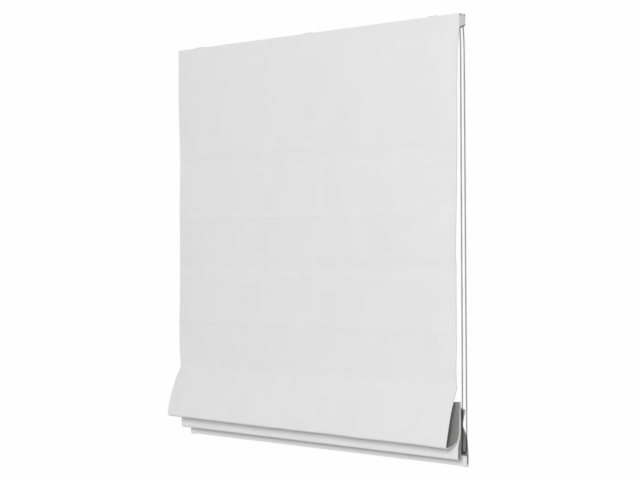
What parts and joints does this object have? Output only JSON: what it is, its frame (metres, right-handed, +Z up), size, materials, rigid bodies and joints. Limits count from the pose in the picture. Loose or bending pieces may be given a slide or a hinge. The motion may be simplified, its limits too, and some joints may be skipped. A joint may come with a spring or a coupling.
{
  "type": "roman blind",
  "caption": "Chain-operated roman blind: cloth hung on a head rail, stiffened by rods, its lower folds gathered by lift cords.",
  "frame": {"origin": "on the line of the bracket screws, at the middle bracket, in the plane the brackets bear against", "axes": "+X along the blind to the drive end, +Y to the wall or window behind it, +Z up"},
  "size_m": [1.2, 0.1074, 1.3355],
  "materials": {
    "white_cloth": "matte plain weave, lined",
    "lining_tape": "woven lining tape",
    "rail_white": "powder coated aluminium",
    "touch_tape": "hook and loop",
    "white_plastic": "moulded",
    "grey_plastic": "moulded",
    "steel_screw": "zinc plated",
    "bracket_steel": "painted sheet steel",
    "shaft_metal": "mill finish",
    "rod_steel": "coated steel wire",
    "bead_steel": "grey moulded beads on a cord",
    "white_cord": "braided",
    "bar_metal": "mill finish",
    "clear_ring": "moulded"
  },
  "bodies": {
    "head": {"head_rail": "rail_white", "hook_tape": "touch_tape", "loop_tape": "touch_tape", "end_cap_left": "white_plastic", "drive_housing": "white_plastic", "drive_cover": "white_plastic", "cover_screws": "steel_screw", "chain_guide": "grey_plastic", "bead_chain": "bead_steel", "fabric_drop": "white_cloth", "mount_bracket_left": "bracket_steel", "spool_cradle_left": "white_plastic", "lift_cord_left": "white_cord", "mount_bracket_centre": "bracket_steel", "spool_cradle_centre": "white_plastic", "lift_cord_centre": "white_cord", "mount_bracket_right": "bracket_steel", "spool_cradle_right": "white_plastic", "lift_cord_right": "white_cord"},
    "drive": {"chain_wheel": "grey_plastic", "drive_shaft": "shaft_metal", "shaft_journal": "grey_plastic", "cord_windings": "white_cord", "lift_spool_left": "white_plastic", "lift_spool_centre": "white_plastic", "lift_spool_right": "white_plastic"},
    "stack": {"fabric_folds": "white_cloth", "cord_toggles": "grey_plastic", "bottom_bar": "bar_metal", "bar_end_caps": "white_plastic", "stiffening_rod_3": "rod_steel", "rod_pocket_3": "lining_tape", "cord_rings_3": "clear_ring", "stiffening_rod_4": "rod_steel", "rod_pocket_4": "lining_tape", "cord_rings_4": "clear_ring", "stiffening_rod_5": "rod_steel", "rod_pocket_5": "lining_tape", "cord_rings_5": "clear_ring"},
    "rod_1": {"stiffening_rod_1": "rod_steel", "rod_pocket_1": "lining_tape", "cord_rings_1": "clear_ring"},
    "rod_2": {"stiffening_rod_2": "rod_steel", "rod_pocket_2": "lining_tape", "cord_rings_2": "clear_ring"}
  },
  "joints": [
    {"name": "lift", "type": "slide", "parent": "head", "child": "stack", "axis": [0, 0, 1], "range_m": [0, 0.98], "deforming": ["fabric_drop", "lift_cord_left", "lift_cord_centre", "lift_cord_right"]},
    {"name": "rod_1_lift", "type": "slide", "parent": "head", "child": "rod_1", "axis": [0, 0, 1], "range_m": [0, 0.3386]},
    {"name": "rod_2_lift", "type": "slide", "parent": "head", "child": "rod_2", "axis": [0, 0, 1], "range_m": [0, 0.6631]},
    {"name": "drive_spin", "type": "hinge", "parent": "head", "child": "drive", "pos_m": [0, 0, -0.022], "axis": [1, 0, 0], "range_deg": [-1, 9209.9]}
  ],
  "couplings": [
    {"joint": "rod_1_lift", "follows": "lift", "ratio": 0.34348},
    {"joint": "rod_2_lift", "follows": "lift", "ratio": 0.6746},
    {"joint": "drive_spin", "follows": "lift", "rad_per_m": 163.93}
  ]
}
